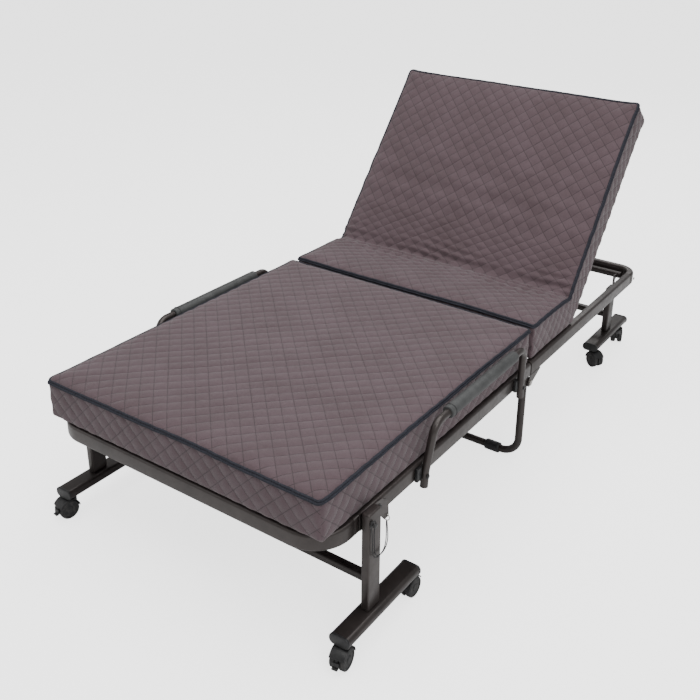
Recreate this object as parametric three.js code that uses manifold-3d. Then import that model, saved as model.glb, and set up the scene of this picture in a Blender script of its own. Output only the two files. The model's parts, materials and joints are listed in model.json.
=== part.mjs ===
// A folding cot on casters: a two-part steel frame with a reclining head half,
// a quilted mattress in halves, side rails to hold on to and a centre leg.
// Millimetres, +Z up, +Y towards the head, +X the side with the lock pin.
import * as THREE from 'three';
import { mergeVertices } from 'three/addons/utils/BufferGeometryUtils.js';
import Module from 'manifold-3d';

const wasm = await Module();
wasm.setup();

// ---- driving dimensions ----
const mattressWidth = 820;
const mattressTop = 424;
const footHalfLength = 922;
const splitGap = 6;
const headHalfLength = 973;
const midLength = 914; // distance from the mattress's foot end to the middle of the whole cot
const railTop = 312.5;
const railHeight = 41;
const railThickness = 24;
const railOuter = 408; // half of the frame's outer width
const tubeWall = 1.2;
const frameFootEnd = 11;
const frameHeadEnd = 1742;
const footBowRadius = 88;
const headBowRadius = 60;
const bowLeg = 14; // the straight end of a bow, where it meets its side rail
const deckDepth = 12; // the deck's side strips lie inside the rails' top 12 mm
const slatThickness = 2;
const clearance = 0.5;
const hingeY = 925;
const hingeZ = 252.5;
const footPivotY = 150;
const headPivotY = 2 * hingeY - footPivotY;
const legPivotZ = 288;
const reclinePivotY = 1218;
const reclineAngle = THREE.MathUtils.degToRad(51);
const wheelRadius = 25;
const baseBottom = 58;
const baseHeight = 25;

// ---- values that follow from them ----
const railBottom = railTop - railHeight;
const railCentreX = railOuter - railThickness / 2;
const railInner = railOuter - railThickness;
const railMiddleZ = railTop - railHeight / 2;
const mattressBase = railTop + 0.7;
const mattressThickness = mattressTop - mattressBase;
const reclinePivotZ = railTop - deckDepth / 2;
const baseTop = baseBottom + baseHeight;
const headHalfStart = footHalfLength + splitGap;
const backLength = headHalfStart + headHalfLength - reclinePivotY;

const paint = { color: 0x4d4642, roughness: 0.45, metalness: 0.6 };
const darkPaint = { color: 0x3a3431, roughness: 0.42, metalness: 0.6 };
const blackPlastic = { color: 0x17171a, roughness: 0.5, metalness: 0 };
const cover = { color: 0x6f5b60, roughness: 0.9, metalness: 0 };
const foam = { color: 0x3b4245, roughness: 0.8, metalness: 0 };
const steel = { color: 0xa9a79c, roughness: 0.35, metalness: 0.9 };

const cot = new THREE.Group();
cot.position.set(0, -midLength, 0);

function addPiece(parent, name, geometry, finish) {
  const mesh = new THREE.Mesh(geometry, new THREE.MeshStandardMaterial(finish));
  mesh.name = name;
  parent.add(mesh);
  return mesh;
}

function addGroup(parent, x, y, z, turnX = 0, turnZ = 0) {
  const group = new THREE.Group();
  group.position.set(x, y, z);
  group.rotation.set(turnX, 0, turnZ);
  parent.add(group);
  return group;
}

// ---- solids ----
function toSolid(geometry) {
  const bare = geometry.clone();
  bare.deleteAttribute('normal');
  bare.deleteAttribute('uv');
  const merged = mergeVertices(bare, 1e-4);
  const mesh = new wasm.Mesh({
    numProp: 3,
    vertProperties: new Float32Array(merged.attributes.position.array),
    triVerts: new Uint32Array(merged.index.array),
  });
  return new wasm.Manifold(mesh);
}

function toGeometry(solid) {
  const mesh = solid.getMesh();
  const geometry = new THREE.BufferGeometry();
  geometry.setAttribute('position', new THREE.BufferAttribute(new Float32Array(mesh.vertProperties), 3));
  geometry.setIndex(new THREE.BufferAttribute(new Uint32Array(mesh.triVerts), 1));
  return geometry;
}

function joined(first, ...others) {
  return toGeometry(others.reduce((sum, other) => sum.add(toSolid(other)), toSolid(first)));
}

function cutBy(body, ...tools) {
  return toGeometry(tools.reduce((rest, tool) => rest.subtract(toSolid(tool)), toSolid(body)));
}

// A box given by its two opposite corners.
function block(x0, y0, z0, x1, y1, z1) {
  const box = new THREE.BoxGeometry(x1 - x0, y1 - y0, z1 - z0);
  return box.translate((x0 + x1) / 2, (y0 + y1) / 2, (z0 + z1) / 2);
}

// A round bar along X.
function barAlongX(radius, x0, x1, y, z, sides = 16) {
  const bar = new THREE.CylinderGeometry(radius, radius, x1 - x0, sides).rotateZ(Math.PI / 2);
  return bar.translate((x0 + x1) / 2, y, z);
}

// The corner points of a rectangle with round corners, counter-clockwise about its centre.
function roundedOutline(width, height, radius, cornerSteps = 3) {
  const points = [];
  for (let corner = 0; corner < 4; corner += 1) {
    const signX = corner === 0 || corner === 3 ? 1 : -1;
    const signY = corner < 2 ? 1 : -1;
    const centre = new THREE.Vector2(signX * (width / 2 - radius), signY * (height / 2 - radius));
    for (let step = 0; step <= cornerSteps; step += 1) {
      const angle = ((corner + step / cornerSteps) * Math.PI) / 2;
      points.push(new THREE.Vector2(Math.cos(angle), Math.sin(angle)).multiplyScalar(radius).add(centre));
    }
  }
  return points;
}

function tubeSection(width, height, radius, wall = tubeWall, cornerSteps = 3) {
  const section = new THREE.Shape(roundedOutline(width, height, radius, cornerSteps));
  if (wall > 0) {
    const bore = roundedOutline(width - 2 * wall, height - 2 * wall, radius - wall, cornerSteps);
    section.holes.push(new THREE.Path(bore));
  }
  return section;
}

function roundSection(radius, sides, wall = 0) {
  const ring = (r) => Array.from({ length: sides }, (_, i) => {
    const angle = (2 * Math.PI * i) / sides;
    return new THREE.Vector2(r * Math.cos(angle), r * Math.sin(angle));
  });
  const section = new THREE.Shape(ring(radius));
  if (wall > 0) section.holes.push(new THREE.Path(ring(radius - wall)));
  return section;
}

// An outline drawn in the Y-Z plane, given a thickness along X from x0 to x1.
function plateAcrossX(points, x0, x1) {
  const plate = new THREE.ExtrudeGeometry(new THREE.Shape(points), { depth: x1 - x0, bevelEnabled: false });
  const turn = new THREE.Matrix4().makeBasis(
    new THREE.Vector3(0, 1, 0), new THREE.Vector3(0, 0, 1), new THREE.Vector3(1, 0, 0),
  );
  return plate.applyMatrix4(turn).translate(x0, 0, 0);
}

// A path through its knots, with every extrusion step on a knot.
class KnotPath extends THREE.Curve {
  constructor(knots) {
    super();
    this.knots = knots;
  }

  getPoint(t, target = new THREE.Vector3()) {
    const place = Math.min(Math.max(t, 0), 1) * (this.knots.length - 1);
    const index = Math.min(Math.floor(place), this.knots.length - 2);
    return target.lerpVectors(this.knots[index], this.knots[index + 1], place - index);
  }

  getUtoTmapping(u) {
    return u;
  }
}

// Knots along straight runs whose corners are bent to a radius.
function bentKnots(corners, radius, bendSteps) {
  const knots = [corners[0]];
  for (let i = 1; i < corners.length - 1; i += 1) {
    const inward = corners[i - 1].clone().sub(corners[i]).normalize();
    const outward = corners[i + 1].clone().sub(corners[i]).normalize();
    const half = inward.angleTo(outward) / 2;
    const middle = inward.clone().add(outward).normalize();
    const centre = corners[i].clone().addScaledVector(middle, radius / Math.sin(half));
    const start = corners[i].clone().addScaledVector(inward, radius / Math.tan(half)).sub(centre);
    const axis = new THREE.Vector3().crossVectors(outward, inward).normalize();
    const sweep = Math.PI - 2 * half;
    for (let step = 0; step <= bendSteps; step += 1) {
      knots.push(start.clone().applyAxisAngle(axis, (sweep * step) / bendSteps).add(centre));
    }
  }
  knots.push(corners[corners.length - 1]);
  return knots;
}

function sweep(section, knots) {
  const extrudePath = new KnotPath(knots);
  return new THREE.ExtrudeGeometry(section, { steps: knots.length - 1, extrudePath, bevelEnabled: false });
}

function point(x, y, z) {
  return new THREE.Vector3(x, y, z);
}

// ---- the two halves of the main frame ----
const hingePinRadius = 4;
const hingeBore = 4.4;
const lugThickness = 3;
const lugRadius = 12;

// A plate below the rail's end that carries the centre hinge pin.
function hingeLug(x0, towards) {
  const points = [];
  const arcSteps = 8;
  for (let step = 0; step <= arcSteps; step += 1) {
    const angle = Math.PI + (Math.PI * step) / arcSteps;
    points.push(new THREE.Vector2(hingeY + lugRadius * Math.cos(angle), hingeZ + lugRadius * Math.sin(angle)));
  }
  const rise = railBottom + 2;
  if (towards < 0) {
    points.push(new THREE.Vector2(hingeY + lugRadius, hingeZ + 4));
    points.push(new THREE.Vector2(hingeY - 4, rise), new THREE.Vector2(hingeY - 62, rise));
  } else {
    points.push(new THREE.Vector2(hingeY + 62, rise), new THREE.Vector2(hingeY + 4, rise));
    points.push(new THREE.Vector2(hingeY - lugRadius, hingeZ + 4));
  }
  return plateAcrossX(points, x0, x0 + lugThickness);
}

function sideRail(side, y0, y1, lugX, towards) {
  const section = tubeSection(railThickness, railHeight, 7);
  const straight = new THREE.ExtrudeGeometry(section, { depth: y1 - y0, bevelEnabled: false });
  straight.rotateX(-Math.PI / 2).translate(side * railCentreX, y0, railMiddleZ);
  const lug = hingeLug(side > 0 ? lugX : -lugX - lugThickness, towards);
  const bore = barAlongX(hingeBore, -450, 450, hingeY, hingeZ, 16);
  return cutBy(joined(straight, lug), bore);
}

function endBow(endY, radius, inward) {
  const centreRadius = radius - railThickness / 2;
  const legY = endY + inward * (radius + bowLeg);
  const acrossY = endY + (inward * railThickness) / 2;
  const knots = bentKnots([
    point(-railCentreX, legY, railMiddleZ), point(-railCentreX, acrossY, railMiddleZ),
    point(railCentreX, acrossY, railMiddleZ), point(railCentreX, legY, railMiddleZ),
  ], centreRadius, 5);
  return sweep(tubeSection(railHeight, railThickness, 7), knots);
}

// A panel of cross slats between two side strips.
function slatDeck(halfWidth, y0, y1, slats, topZ, slatWidth = 36, stripWidth = 20) {
  const panel = new THREE.Shape([
    new THREE.Vector2(-halfWidth, y0), new THREE.Vector2(halfWidth, y0),
    new THREE.Vector2(halfWidth, y1), new THREE.Vector2(-halfWidth, y1),
  ]);
  const pitch = (y1 - y0 - slatWidth) / (slats - 1);
  const reach = halfWidth - stripWidth;
  for (let i = 0; i < slats - 1; i += 1) {
    const low = y0 + slatWidth + i * pitch;
    const high = y0 + (i + 1) * pitch;
    panel.holes.push(new THREE.Path([
      new THREE.Vector2(-reach, low), new THREE.Vector2(-reach, high),
      new THREE.Vector2(reach, high), new THREE.Vector2(reach, low),
    ]));
  }
  const slab = { depth: slatThickness, bevelEnabled: false };
  return new THREE.ExtrudeGeometry(panel, slab).translate(0, 0, topZ - slatThickness);
}

function addMainFrame() {
  const footRailStart = frameFootEnd + footBowRadius + bowLeg + 0.3;
  const headRailEnd = frameHeadEnd - headBowRadius - bowLeg - 0.3;
  for (const [side, word] of [[-1, 'left'], [1, 'right']]) {
    const footRail = sideRail(side, footRailStart, footHalfLength, 400.5, -1);
    addPiece(cot, `foot_side_rail_${word}`, footRail, paint);
    addPiece(cot, `head_side_rail_${word}`, sideRail(side, headHalfStart, headRailEnd, 404.5, 1), paint);
  }
  addPiece(cot, 'foot_end_bow', endBow(frameFootEnd, footBowRadius, 1), paint);
  addPiece(cot, 'head_end_bow', endBow(frameHeadEnd, headBowRadius, -1), paint);
  const deckHalf = railInner - clearance;
  addPiece(cot, 'foot_deck', slatDeck(deckHalf, footRailStart + 5, footHalfLength - 6, 9, railTop), darkPaint);
  addPiece(cot, 'seat_deck', slatDeck(deckHalf, headHalfStart + 6, reclinePivotY - 30, 3, railTop), darkPaint);
}

// ---- mattress ----
// The foot half: square to the split, with slightly round corners at the foot.
function footMattress() {
  const half = mattressWidth / 2;
  const radius = 20;
  const shape = new THREE.Shape();
  shape.moveTo(half, footHalfLength);
  shape.lineTo(-half, footHalfLength);
  shape.lineTo(-half, radius);
  shape.absarc(-half + radius, radius, radius, Math.PI, 1.5 * Math.PI);
  shape.lineTo(half - radius, 0);
  shape.absarc(half - radius, radius, radius, 1.5 * Math.PI, 2 * Math.PI);
  const slab = { depth: mattressThickness, bevelEnabled: false, curveSegments: 5 };
  return new THREE.ExtrudeGeometry(shape, slab).translate(0, 0, mattressBase);
}

const bendSlope = Math.tan(THREE.MathUtils.degToRad(35)); // each half leans back from the bend
const bendSetback = 12;

function seatMattress() {
  const half = mattressWidth / 2;
  const end = reclinePivotY - bendSetback;
  return plateAcrossX([
    new THREE.Vector2(headHalfStart, mattressBase), new THREE.Vector2(end, mattressBase),
    new THREE.Vector2(end - bendSlope * mattressThickness, mattressTop),
    new THREE.Vector2(headHalfStart, mattressTop),
  ], -half, half);
}

// Everything on the backrest is drawn lying flat, with its pivot at the origin.
function backMattress() {
  const half = mattressWidth / 2;
  const base = mattressBase - reclinePivotZ;
  const top = mattressTop - reclinePivotZ;
  return plateAcrossX([
    new THREE.Vector2(bendSetback, base), new THREE.Vector2(backLength, base),
    new THREE.Vector2(backLength, top),
    new THREE.Vector2(bendSetback + bendSlope * mattressThickness, top),
  ], -half, half);
}

// ---- backrest ----
const backFrameCentreX = 361;
const backFrameWidth = 18;
const backFrameReach = 492;
const ratchetRadius = 11.5;

function backFrame() {
  const endY = backFrameReach - backFrameWidth / 2;
  const knots = bentKnots([
    point(-backFrameCentreX, 0, 0), point(-backFrameCentreX, endY, 0),
    point(backFrameCentreX, endY, 0), point(backFrameCentreX, 0, 0),
  ], 50, 4);
  return sweep(tubeSection(deckDepth, backFrameWidth, 3, tubeWall, 1), knots);
}

function addBackrest() {
  const back = addGroup(cot, 0, reclinePivotY, reclinePivotZ, reclineAngle);
  addPiece(back, 'back_frame', backFrame(), paint);
  const deckHalf = backFrameCentreX - backFrameWidth / 2 - clearance;
  addPiece(back, 'back_deck', slatDeck(deckHalf, 16, backFrameReach - 78, 5, deckDepth / 2), darkPaint);
  addPiece(back, 'back_mattress', backMattress(), cover);
  const innerX = backFrameCentreX + backFrameWidth / 2 + clearance;
  const outerX = railInner - clearance;
  for (const [side, word] of [[-1, 'left'], [1, 'right']]) {
    const x0 = side > 0 ? innerX : -outerX;
    const housing = barAlongX(ratchetRadius, x0, x0 + outerX - innerX, reclinePivotY, reclinePivotZ, 20);
    addPiece(cot, `recline_ratchet_${word}`, housing, blackPlastic);
  }
}

// ---- legs ----
const postWidth = 45;
const postThickness = 20;
const footPostX = 428;
const headPostX = 338;
const baseLength = 272;
const baseWidth = 50;
const footPostY = 142;
const headPostY = headPivotY - 9;
const footBaseStart = 32;
const headBaseStart = 1556;
const postTop = 330;
const pinY = footPostY - 15;
const pinZ = 308;
const pinBore = 3.4;

// A flat-sided tube standing on a base, with a round top when it rises past its pivot.
function legPost(x, y, top, roundTop) {
  const half = postWidth / 2;
  const points = [new THREE.Vector2(y - half, baseTop + 0.3), new THREE.Vector2(y + half, baseTop + 0.3)];
  if (roundTop) {
    const drop = 14;
    const arcSteps = 8;
    for (let step = 0; step <= arcSteps; step += 1) {
      const angle = (Math.PI * step) / arcSteps;
      points.push(new THREE.Vector2(y + half * Math.cos(angle), top - drop + drop * Math.sin(angle)));
    }
  } else {
    points.push(new THREE.Vector2(y + half, top), new THREE.Vector2(y - half, top));
  }
  const outer = plateAcrossX(points, x - postThickness / 2, x + postThickness / 2);
  const wall = 1.6;
  const inside = block(
    x - postThickness / 2 + wall, y - half + wall, baseTop - 5,
    x + postThickness / 2 - wall, y + half - wall, top - 20,
  );
  return cutBy(outer, inside);
}

function legBase(x, startY) {
  const section = tubeSection(baseWidth, baseHeight, 11, 1.5);
  const tube = new THREE.ExtrudeGeometry(section, { depth: baseLength, bevelEnabled: false });
  return tube.rotateX(-Math.PI / 2).translate(x, startY, baseBottom + baseHeight / 2);
}

function lowCrossbar(reach, y, z) {
  const section = tubeSection(24, 20, 6);
  const bar = new THREE.ExtrudeGeometry(section, { depth: 2 * reach, bevelEnabled: false });
  return bar.rotateY(Math.PI / 2).translate(-reach, y, z);
}

// The plate outside the rail that ties the post's top to the leg pivot, with the pin ring's tab.
const bracketX = 410.5;
const bracketThickness = 3;
const ringHoleY = 222;
const ringHoleZ = 262;

function legBracket(x0) {
  const plate = plateAcrossX([
    new THREE.Vector2(footPostY - 20, 282), new THREE.Vector2(footPivotY + 46, 276),
    new THREE.Vector2(ringHoleY - 9, 254), new THREE.Vector2(ringHoleY + 7, 254),
    new THREE.Vector2(ringHoleY + 4, 296), new THREE.Vector2(footPivotY + 52, 315),
    new THREE.Vector2(footPostY - 20, 323),
  ], x0, x0 + bracketThickness);
  return cutBy(plate, barAlongX(3.5, x0 - 5, x0 + 8, ringHoleY, ringHoleZ, 12));
}

// The plate that carries a head post below the pivot tube. It passes the tube's near side,
// so that the frame's end bar can swing down between the tube and the post.
const neckNear = 31;
const neckFar = 19;
const headPostTop = 243;

function headLegNeck(x0) {
  return plateAcrossX([
    new THREE.Vector2(headPivotY - neckNear, headPostTop - 26), new THREE.Vector2(headPivotY + 10, headPostTop - 26),
    new THREE.Vector2(headPivotY + 10, headPostTop), new THREE.Vector2(headPivotY - neckFar, headPostTop + 2),
    new THREE.Vector2(headPivotY - neckFar, legPivotZ - 12), new THREE.Vector2(headPivotY - 8, legPivotZ - 6),
    new THREE.Vector2(headPivotY - 8, legPivotZ + 6), new THREE.Vector2(headPivotY - neckNear, legPivotZ + 6),
  ], x0, x0 + 4);
}

function addLegs() {
  for (const [side, word] of [[-1, 'left'], [1, 'right']]) {
    const footPost = legPost(side * footPostX, footPostY, postTop, true);
    const bored = side > 0 ? cutBy(footPost, barAlongX(pinBore, 400, 450, pinY, pinZ, 12)) : footPost;
    addPiece(cot, `foot_leg_post_${word}`, bored, paint);
    addPiece(cot, `foot_leg_base_${word}`, legBase(side * footPostX, footBaseStart), darkPaint);
    addPiece(cot, `foot_leg_bracket_${word}`, legBracket(side > 0 ? bracketX : -bracketX - bracketThickness), paint);
    addPiece(cot, `head_leg_post_${word}`, legPost(side * headPostX, headPostY, headPostTop, false), darkPaint);
    addPiece(cot, `head_leg_base_${word}`, legBase(side * headPostX, headBaseStart), darkPaint);
  }
  const footReach = footPostX - postThickness / 2 - clearance;
  addPiece(cot, 'foot_leg_crossbar', lowCrossbar(footReach, 173, 122), darkPaint);
  const headReach = headPostX - postThickness / 2 - clearance;
  addPiece(cot, 'head_leg_crossbar', lowCrossbar(headReach, headPostY, 140), darkPaint);
  const pivotReach = 364;
  const pivotTube = sweep(roundSection(11, 16, tubeWall), [
    point(-pivotReach, headPivotY, legPivotZ), point(pivotReach, headPivotY, legPivotZ),
  ]);
  const necks = [-headPostX - 14.5, headPostX + 10.5].map((x0) => headLegNeck(x0));
  addPiece(cot, 'head_leg_pivot_tube', joined(pivotTube, ...necks), darkPaint);
}

// ---- centre leg, hung on the centre hinge pins ----
const centreLegX = 388.5;
const centreLegRadius = 10.5;
const padRadius = 15;

function addCentreLeg() {
  const barZ = padRadius;
  const top = hingeZ + 9;
  const knots = bentKnots([
    point(-centreLegX, hingeY, top), point(-centreLegX, hingeY, barZ),
    point(centreLegX, hingeY, barZ), point(centreLegX, hingeY, top),
  ], 52, 4);
  const tube = sweep(roundSection(centreLegRadius, 12, tubeWall), knots);
  addPiece(cot, 'centre_leg', cutBy(tube, barAlongX(hingeBore, -450, 450, hingeY, hingeZ, 16)), darkPaint);
  for (const [side, word] of [[-1, 'left'], [1, 'right']]) {
    const middle = side * 312;
    const sleeve = sweep(roundSection(padRadius, 16, padRadius - centreLegRadius - 0.6), [
      point(middle - 22, hingeY, barZ), point(middle + 22, hingeY, barZ),
    ]);
    addPiece(cot, `centre_leg_pad_${word}`, sleeve, blackPlastic);
    const x0 = side > 0 ? 375 : -409;
    const shank = barAlongX(hingePinRadius, x0, x0 + 34, hingeY, hingeZ, 16);
    const headX = side > 0 ? 407.9 : -411.4;
    const head = barAlongX(7.5, headX, headX + 3.5, hingeY, hingeZ, 16);
    addPiece(cot, `centre_hinge_pin_${word}`, joined(shank, head), steel);
  }
}

// ---- side rails to hold on to ----
const handrailMiddleY = 603;
const handrailX = 428;
const handrailRadius = 9.5;
const handrailTop = 409;
const gripRadius = 15;
const gripHalf = 163;

function addHandrails() {
  for (const [side, word] of [[-1, 'left'], [1, 'right']]) {
    const footX = side * (railOuter + 1 + handrailRadius);
    const topX = side * handrailX;
    const knots = bentKnots([
      point(footX, handrailMiddleY - 240, 252), point(footX, handrailMiddleY - 236, 292),
      point(topX, handrailMiddleY - 218, handrailTop), point(topX, handrailMiddleY + 218, handrailTop),
      point(footX, handrailMiddleY + 236, 292), point(footX, handrailMiddleY + 240, 252),
    ], 34, 3);
    addPiece(cot, `handrail_${word}`, sweep(roundSection(handrailRadius, 10, tubeWall), knots), paint);
    const grip = sweep(roundSection(gripRadius, 14, gripRadius - handrailRadius - 0.3), [
      point(topX, handrailMiddleY - gripHalf, handrailTop), point(topX, handrailMiddleY + gripHalf, handrailTop),
    ]);
    addPiece(cot, `handrail_grip_${word}`, grip, foam);
  }
}

// ---- lock pin, its ring and its elastic lanyard ----
const cordRadius = 1.1;
const strandGap = 2.6;

function turnedAlongX(profile, sides) {
  const outline = profile.map(([along, radius]) => new THREE.Vector2(radius, along));
  return new THREE.LatheGeometry(outline, sides).rotateZ(-Math.PI / 2);
}

function addLockPin() {
  const outerFace = footPostX + postThickness / 2;
  const pin = turnedAlongX([
    [-19.5, 0], [-18, 3], [0.4, 3], [0.4, 7], [2.6, 7], [2.6, 3.2], [7.6, 3.2], [7.6, 5.5], [12, 5.5], [13, 0],
  ], 16);
  addPiece(cot, 'lock_pin', pin.translate(outerFace, pinY, pinZ), steel);
  const ring = new THREE.TorusGeometry(8, 1.1, 6, 14).rotateX(Math.PI / 2);
  addPiece(cot, 'lanyard_ring', ring.translate(bracketX + bracketThickness / 2, ringHoleY, ringHoleZ - 7.6), steel);
}

// The lanyard is a closed elastic doubled between the ring and the pin: down from the ring,
// up the post's outer face, round the pin's neck and back beside itself.
function addLanyard() {
  const drop = [
    [412, 222.5, 244.2], [417, 216, 239], [426, 204, 232], [435, 190, 226], [442, 173, 221],
    [444.8, 156, 218.5], [445.3, 141, 221], [445.1, 131, 230], [444.6, 127, 246], [443.8, 127, 266], [443.1, 127, 286],
  ];
  const out = drop.map(([x, y, z], i) => {
    const spread = strandGap * Math.min(1, i / 3);
    return point(x - spread * 0.2, y - spread, z - spread * 0.3);
  });
  const neckX = footPostX + postThickness / 2 + 5.1;
  const loopRadius = 8.5; // wide enough for the pin's collar to pass through
  const loop = [];
  for (let step = 0; step <= 8; step += 1) {
    const angle = Math.PI * (1.15 - (1.3 * step) / 8);
    loop.push(point(neckX, pinY + loopRadius * Math.cos(angle), pinZ + loopRadius * Math.sin(angle)));
  }
  const back = drop.map(([x, y, z], i) => {
    const spread = strandGap * Math.min(1, i / 3) + (i < 3 ? 1.5 - i * 0.5 : 0);
    return point(x + spread * 0.2, y + spread, z + spread * 0.3);
  }).reverse();
  const route = new THREE.CatmullRomCurve3([...out, ...loop, ...back], false, 'centripetal');
  const tube = { steps: 62, extrudePath: route, bevelEnabled: false };
  addPiece(cot, 'lock_pin_lanyard', new THREE.ExtrudeGeometry(roundSection(cordRadius, 8), tube), blackPlastic);
}

// ---- casters: a hooded twin-wheel caster, its stem at the origin, trailing towards -Y ----
const trail = 18;
const hoodInner = 26.4;
const hoodOuter = 28.6;
const wheelOuterX = 18.2;
const webHalf = 3;

function arcPoints(radius, from, to, steps) {
  return Array.from({ length: steps + 1 }, (_, i) => {
    const angle = THREE.MathUtils.degToRad(from + ((to - from) * i) / steps);
    return new THREE.Vector2(-trail + radius * Math.cos(angle), wheelRadius + radius * Math.sin(angle));
  });
}

function casterHood() {
  const cover = plateAcrossX(
    [...arcPoints(hoodOuter, 4, 152, 6), ...arcPoints(hoodInner - 2, 152, 4, 6)], -wheelOuterX, wheelOuterX,
  );
  const web = plateAcrossX([...arcPoints(hoodInner + 1, 4, 152, 6), ...arcPoints(8, 190, 330, 3)], -webHalf, webHalf);
  const stem = new THREE.CylinderGeometry(9, 9, 20, 12).rotateX(Math.PI / 2).translate(0, 0, baseBottom - 10.3);
  const bore = barAlongX(4.3, -10, 10, -trail, wheelRadius, 12);
  const roomRight = barAlongX(hoodInner, webHalf, 30, -trail, wheelRadius, 20);
  const roomLeft = barAlongX(hoodInner, -30, -webHalf, -trail, wheelRadius, 20);
  return cutBy(joined(cover, web, stem), bore, roomRight, roomLeft);
}

// Two wheels on one axle, turned so that a flat of the tread lies on the floor.
function casterWheels() {
  const sides = 16;
  const tread = wheelRadius / Math.cos(Math.PI / sides);
  const rim = tread - 2.5;
  const wheels = turnedAlongX([
    [-18, 0], [-18, rim], [-15.5, tread], [-6, tread], [-3.6, rim], [-3.6, 3.9],
    [3.6, 3.9], [3.6, rim], [6, tread], [15.5, tread], [18, rim], [18, 0],
  ], sides);
  return wheels.rotateX(Math.PI / sides).translate(0, -trail, wheelRadius);
}

function brakePedal() {
  return plateAcrossX([
    ...arcPoints(hoodInner, 163, 184, 3), ...arcPoints(hoodOuter + 6, 194, 184, 1),
    ...arcPoints(hoodOuter + 1.5, 180, 163, 3),
  ], -8, 8);
}

// Each caster's place, the way it has swung (degrees about +Z) and whether it has a brake.
const casterTurns = {
  foot_right_front: 8, foot_right_rear: 180, foot_left_front: -8, foot_left_rear: 180,
  head_right_front: 60, head_right_rear: 25, head_left_front: 20, head_left_rear: -30,
};

function addCasters() {
  const ends = { foot: [footPostX, footBaseStart], head: [headPostX, headBaseStart] };
  const places = { front: 23, rear: baseLength - 24 };
  for (const [end, [x, y]] of Object.entries(ends)) {
    for (const [side, word] of [[1, 'right'], [-1, 'left']]) {
      for (const [place, offset] of Object.entries(places)) {
        const label = `${end}_${word}_${place}`;
        const turn = THREE.MathUtils.degToRad(casterTurns[label]);
        const caster = addGroup(cot, side * x, y + offset, 0, 0, turn);
        addPiece(caster, `caster_hood_${label}`, casterHood(), blackPlastic);
        addPiece(caster, `caster_wheels_${label}`, casterWheels(), blackPlastic);
        if (end === 'foot' && place === 'front') {
          addPiece(caster, `brake_pedal_${label}`, brakePedal(), blackPlastic);
        }
      }
    }
  }
}

addMainFrame();
addPiece(cot, 'foot_mattress', footMattress(), cover);
addPiece(cot, 'seat_mattress', seatMattress(), cover);
addBackrest();
addLegs();
addCentreLeg();
addHandrails();
addLockPin();
addLanyard();
addCasters();

export default cot;
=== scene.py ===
import bpy
import json
import math
import numpy as np
from mathutils import Matrix, Vector


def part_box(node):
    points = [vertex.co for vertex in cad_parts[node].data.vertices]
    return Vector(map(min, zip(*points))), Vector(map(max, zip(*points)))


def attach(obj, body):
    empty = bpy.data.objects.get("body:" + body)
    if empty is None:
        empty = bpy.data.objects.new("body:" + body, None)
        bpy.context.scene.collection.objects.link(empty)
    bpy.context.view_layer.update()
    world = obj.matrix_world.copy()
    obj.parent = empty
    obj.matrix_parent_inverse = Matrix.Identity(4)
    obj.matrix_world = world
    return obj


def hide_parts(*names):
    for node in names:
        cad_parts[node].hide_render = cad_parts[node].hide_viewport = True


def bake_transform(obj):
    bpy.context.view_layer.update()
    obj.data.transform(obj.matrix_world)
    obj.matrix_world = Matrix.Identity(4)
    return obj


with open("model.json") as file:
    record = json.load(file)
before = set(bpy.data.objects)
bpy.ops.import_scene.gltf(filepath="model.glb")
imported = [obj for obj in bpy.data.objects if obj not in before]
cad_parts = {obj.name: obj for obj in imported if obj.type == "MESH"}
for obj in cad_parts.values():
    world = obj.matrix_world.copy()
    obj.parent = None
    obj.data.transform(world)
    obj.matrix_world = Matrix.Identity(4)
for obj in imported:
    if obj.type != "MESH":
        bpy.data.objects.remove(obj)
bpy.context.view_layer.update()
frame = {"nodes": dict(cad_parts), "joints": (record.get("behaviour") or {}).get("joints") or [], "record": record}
nodes = frame["nodes"]
joints = {joint["name"]: joint for joint in frame["joints"]}
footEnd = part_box("foot_mattress")[0].y
mm = 0.001


def at(x, y, z):
    # a place in millimetres, with y measured from the foot end of the mattress
    return Vector((x * mm, footEnd + y * mm, z * mm))


view = {"place": (1307.2, -1154.3, 1524.4), "heading": 33.29, "down": 23.12, "roll": 1.24,
        "lens": 48.49, "shiftX": -0.0548, "shiftY": -0.1127}


def addCamera():
    lens = bpy.data.cameras.new("camera")
    lens.lens = view["lens"]
    lens.sensor_width = 36
    lens.shift_x = view["shiftX"]
    lens.shift_y = view["shiftY"]
    camera = bpy.data.objects.new("camera", lens)
    bpy.context.scene.collection.objects.link(camera)
    turn = Matrix.Rotation(math.radians(view["heading"]), 4, "Z")
    tilt = Matrix.Rotation(math.radians(90 - view["down"]), 4, "X")
    roll = Matrix.Rotation(math.radians(view["roll"]), 4, "Z")
    camera.matrix_world = Matrix.Translation(at(*view["place"])) @ turn @ tilt @ roll
    bpy.context.scene.camera = camera


addCamera()


def startMaterial(name, colour, roughness, metallic=0.0):
    material = bpy.data.materials.new(name)
    material.use_nodes = True
    tree = material.node_tree
    shader = tree.nodes["Principled BSDF"]
    shader.inputs["Base Color"].default_value = (*colour, 1)
    shader.inputs["Roughness"].default_value = roughness
    shader.inputs["Metallic"].default_value = metallic
    return material, tree, shader


def objectPlace(tree, scale=(1, 1, 1)):
    place = tree.nodes.new("ShaderNodeTexCoord")
    mapping = tree.nodes.new("ShaderNodeMapping")
    mapping.inputs["Scale"].default_value = scale
    tree.links.new(place.outputs["Object"], mapping.inputs["Vector"])
    return mapping.outputs["Vector"]


def noise(tree, vector, scale, detail=4.0, roughness=0.6):
    node = tree.nodes.new("ShaderNodeTexNoise")
    node.inputs["Scale"].default_value = scale
    node.inputs["Detail"].default_value = detail
    node.inputs["Roughness"].default_value = roughness
    tree.links.new(vector, node.inputs["Vector"])
    return node.outputs["Fac"]


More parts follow.
